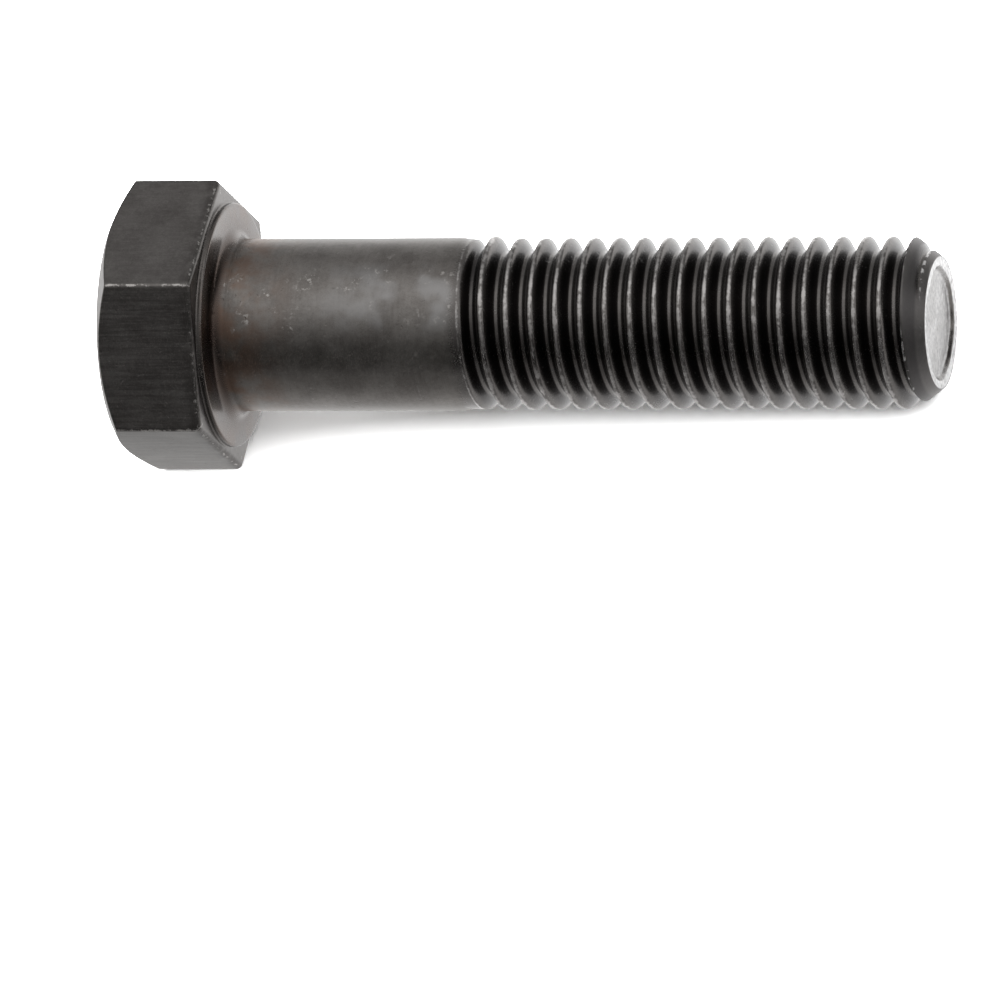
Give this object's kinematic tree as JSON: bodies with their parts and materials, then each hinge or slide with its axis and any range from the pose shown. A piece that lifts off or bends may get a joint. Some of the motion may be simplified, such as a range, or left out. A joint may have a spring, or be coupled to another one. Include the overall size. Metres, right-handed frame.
{
  "type": "hex bolt",
  "caption": "Part-threaded metric hex head bolt with washer face, plain shank, helical run-out thread and chamfered, dished point",
  "frame": {"origin": "centre of the bearing face under the head, on the bolt's axis", "axes": "+X runs along the axis from the head to the threaded end, +Z is square to one flat of the hexagon, and +Y points at one of its corners; the head is on the -X side"},
  "size_m": [0.0575, 0.0206, 0.0178],
  "materials": {
    "steel": "satin"
  },
  "bodies": {
    "root": {"hex_bolt": "steel"}
  },
  "joints": []
}
